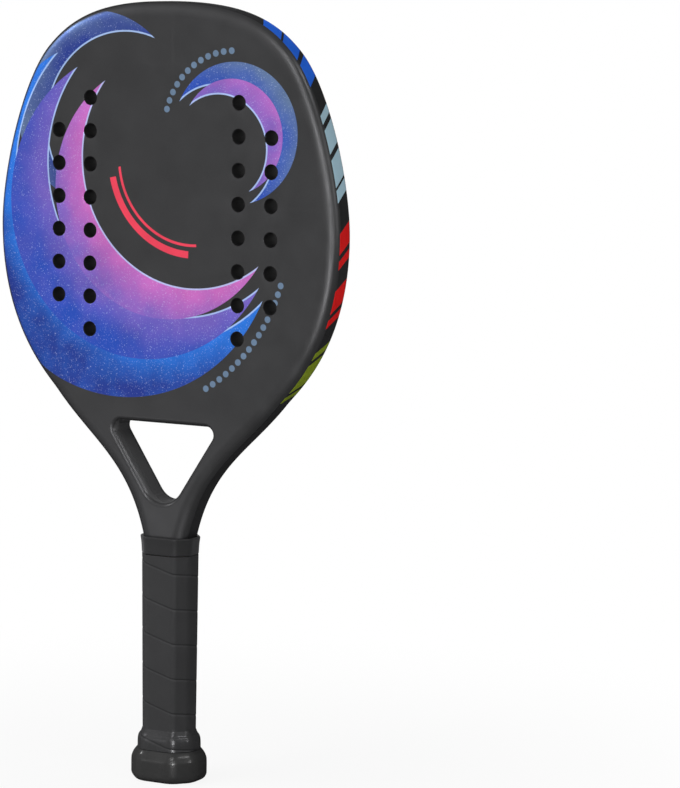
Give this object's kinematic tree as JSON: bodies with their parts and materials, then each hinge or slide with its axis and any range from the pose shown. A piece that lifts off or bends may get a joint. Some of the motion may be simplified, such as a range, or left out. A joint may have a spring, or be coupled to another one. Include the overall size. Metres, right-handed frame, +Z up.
{
  "type": "beach tennis racket",
  "caption": "Stringless beach tennis racket: foam-cored oval head with drilled holes, triangular open throat, octagonal wrapped handle with collar and flared butt cap.",
  "frame": {"origin": "centre of the butt end, which is the middle of the cord hole's mouth", "axes": "+Z up the handle to the crown of the head, +X across the face, -Y out of the front face"},
  "size_m": [0.2348, 0.0392, 0.4725],
  "materials": {
    "face_laminate": "satin",
    "core_foam": "matte",
    "frame_laminate": "gloss",
    "handle_foam": "matte",
    "grip_tape": "matte",
    "collar_rubber": "matte",
    "cap_plastic": "satin"
  },
  "bodies": {
    "root": {"front_face_skin": "face_laminate", "back_face_skin": "face_laminate", "foam_core": "core_foam", "frame_tube": "frame_laminate", "throat_bridge": "frame_laminate", "throat_gusset": "frame_laminate", "front_handle_pallet": "handle_foam", "back_handle_pallet": "handle_foam", "grip_tape": "grip_tape", "grip_collar": "collar_rubber", "butt_cap": "cap_plastic"}
  },
  "joints": []
}
